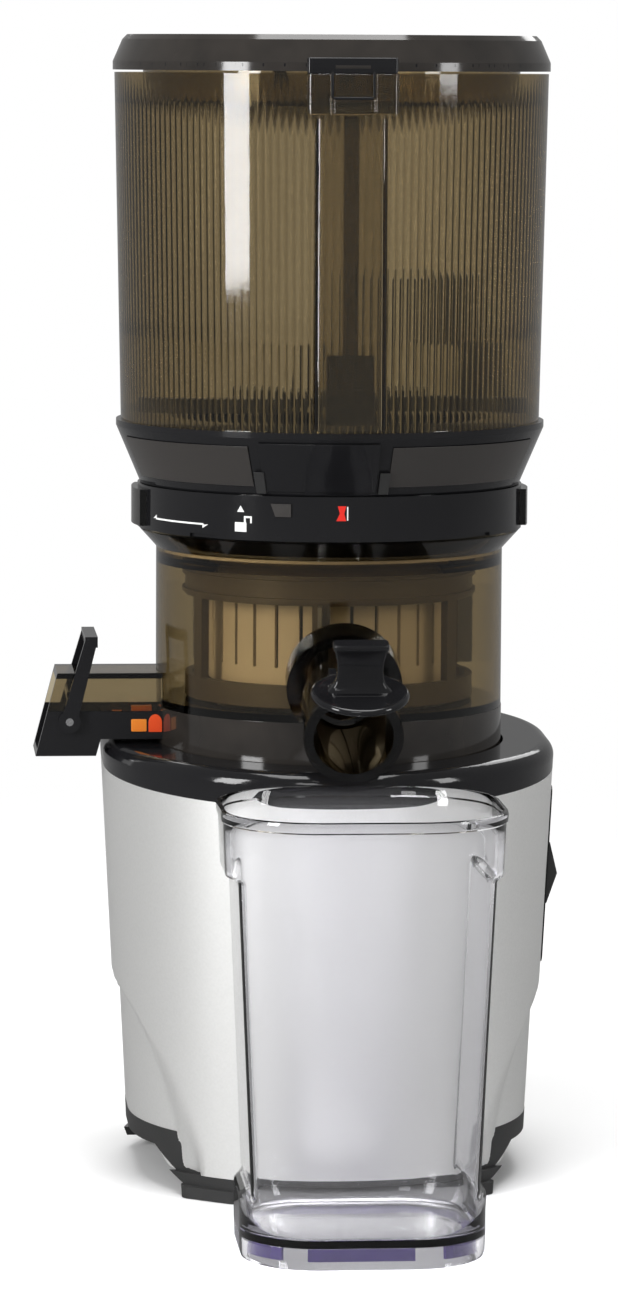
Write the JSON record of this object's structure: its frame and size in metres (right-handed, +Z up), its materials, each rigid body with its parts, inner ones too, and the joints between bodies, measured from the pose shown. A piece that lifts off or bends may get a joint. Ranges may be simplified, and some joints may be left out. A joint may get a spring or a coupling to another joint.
{
  "type": "slow juicer",
  "caption": "Vertical slow juicer: wide lidded hopper, smoky juicing bowl with auger, tilting spout cap, pulp chute with lever, silver motor base and a clear juice cup.",
  "frame": {"origin": "middle of the footprint at table level", "axes": "+Z up, -Y towards the juice spout and cup, -X towards the pulp chute"},
  "size_m": [0.2208, 0.3187, 0.475],
  "materials": {
    "silver_shell": "satin silver paint",
    "black_gloss": "polished",
    "black_matte": "fine texture",
    "foot_rubber": "matte",
    "grey_silicone": "matte",
    "orange_silicone": "matte",
    "smoke_clear": "transparent smoky brown",
    "clear_cup": "transparent",
    "steel": "machined",
    "core_steel": "laminated",
    "can_steel": "zinc plated",
    "copper": "enamelled",
    "gear_plastic": "moulded",
    "gear_case": "die cast",
    "auger_plastic": "moulded",
    "circuit_board": "board"
  },
  "bodies": {
    "base": {"base_shell": "silver_shell", "top_deck": "black_gloss", "bottom_cover": "black_matte", "feet": "foot_rubber", "cover_screws": "steel", "cord_gland": "black_matte", "switch_bezel": "black_gloss", "motor_plate": "steel", "motor_can": "can_steel", "motor_stator": "core_steel", "motor_windings": "copper", "shaft_bearings": "steel", "gearbox_housing": "gear_case", "gearbox_lid": "gear_case", "idler_pin": "steel", "shaft_seal": "grey_silicone", "control_board": "circuit_board"},
    "rotor": {"rotor_shaft": "steel", "rotor_core": "core_steel", "cooling_fan": "gear_plastic"},
    "idler": {"idler_gear": "gear_plastic"},
    "drive": {"output_gear": "steel", "drive_shaft": "steel"},
    "switch": {"power_switch": "black_matte"},
    "bowl": {"bowl": "smoke_clear", "bowl_skirt": "black_gloss", "bowl_seal": "grey_silicone", "juice_spout": "black_gloss", "pulp_chute": "smoke_clear", "pulp_chute_base": "black_gloss", "pulp_packing": "orange_silicone", "strainer": "auger_plastic"},
    "brush_idler": {"brush_idler_gear": "gear_plastic"},
    "brush": {"brush_frame": "auger_plastic", "brush_blades": "grey_silicone"},
    "auger": {"auger": "auger_plastic", "auger_socket": "steel"},
    "cutter": {"feed_cutter": "auger_plastic"},
    "cap": {"juice_cap": "black_gloss", "cap_seal": "grey_silicone", "cap_pin": "steel"},
    "lever": {"pulp_lever": "black_gloss", "pulp_gate": "black_gloss", "gate_pin": "steel"},
    "lock": {"lock_ring": "black_gloss", "ring_grips": "smoke_clear"},
    "hopper": {"hopper": "smoke_clear", "hopper_base": "black_gloss", "hopper_channel": "smoke_clear", "hopper_seal": "grey_silicone", "hinge_pin": "steel"},
    "interlock": {"interlock_rod": "black_matte"},
    "lid": {"lid_ring": "black_gloss", "lid_dish": "smoke_clear"},
    "latch": {"lid_latch": "smoke_clear", "latch_pin": "steel"},
    "cup": {"juice_cup": "clear_cup"}
  },
  "joints": [
    {"name": "auger_spin", "type": "hinge", "parent": "bowl", "child": "auger", "pos_m": [0.0126, 0.0446, 0.24], "axis": [0, 0, 1], "continuous": true},
    {"name": "drive_spin", "type": "hinge", "parent": "base", "child": "drive", "pos_m": [0.0126, 0.0446, 0.14], "axis": [0, 0, 1], "continuous": true},
    {"name": "idler_spin", "type": "hinge", "parent": "base", "child": "idler", "pos_m": [0.0126, 0.0866, 0.1], "axis": [0, 0, 1], "continuous": true},
    {"name": "rotor_spin", "type": "hinge", "parent": "base", "child": "rotor", "pos_m": [0.0126, 0.0566, 0.06], "axis": [0, 0, 1], "continuous": true},
    {"name": "brush_spin", "type": "hinge", "parent": "bowl", "child": "brush", "pos_m": [0.0126, 0.0446, 0.205], "axis": [0, 0, 1], "continuous": true},
    {"name": "brush_idler_spin", "type": "hinge", "parent": "bowl", "child": "brush_idler", "pos_m": [0.0451, 0.0446, 0.205], "axis": [0, 0, 1], "continuous": true},
    {"name": "cutter_spin", "type": "hinge", "parent": "hopper", "child": "cutter", "pos_m": [0.0126, 0.0446, 0.32], "axis": [0, 0, 1], "continuous": true},
    {"name": "bowl_lift", "type": "slide", "parent": "base", "child": "bowl", "axis": [0, 0, 1], "range_m": [0, 0.12]},
    {"name": "hopper_lift", "type": "slide", "parent": "bowl", "child": "hopper", "axis": [0, 0, 1], "range_m": [0, 0.12]},
    {"name": "lock_twist", "type": "hinge", "parent": "hopper", "child": "lock", "pos_m": [0.0126, 0.0446, 0.28], "axis": [0, 0, 1], "range_deg": [0, 30]},
    {"name": "lid_hinge", "type": "hinge", "parent": "hopper", "child": "lid", "pos_m": [0.0126, 0.1396, 0.463], "axis": [-1, 0, 0], "range_deg": [0, 105]},
    {"name": "latch_flip", "type": "hinge", "parent": "lid", "child": "latch", "pos_m": [0.0126, -0.0514, 0.4622], "axis": [-1, 0, 0], "range_deg": [0, 30]},
    {"name": "interlock_slide", "type": "slide", "parent": "hopper", "child": "interlock", "axis": [0, 0, 1], "range_m": [0, 0.005]},
    {"name": "cap_hinge", "type": "hinge", "parent": "bowl", "child": "cap", "pos_m": [0.0126, -0.07681, 0.2191], "axis": [1, 0, 0], "range_deg": [0, 92]},
    {"name": "pulp_lever_hinge", "type": "hinge", "parent": "bowl", "child": "lever", "pos_m": [-0.0964, 0.0446, 0.192], "axis": [0, -1, 0], "range_deg": [0, 75]},
    {"name": "switch_rock", "type": "hinge", "parent": "base", "child": "switch", "pos_m": [0.10344, 0.0546, 0.12405], "axis": [0, 1, 0], "range_deg": [-12, 12]},
    {"name": "cup_slide", "type": "slide", "parent": "base", "child": "cup", "axis": [0, -1, 0], "range_m": [0, 0.2]}
  ],
  "couplings": [
    {"joint": "drive_spin", "follows": "auger_spin", "ratio": 1},
    {"joint": "idler_spin", "follows": "auger_spin", "ratio": -3},
    {"joint": "rotor_spin", "follows": "auger_spin", "ratio": 12},
    {"joint": "brush_spin", "follows": "auger_spin", "ratio": -0.2381},
    {"joint": "brush_idler_spin", "follows": "auger_spin", "ratio": -0.625},
    {"joint": "cutter_spin", "follows": "auger_spin", "ratio": 1},
    {"joint": "interlock_slide", "follows": "lid_hinge", "m_per_rad": 0.0026}
  ]
}
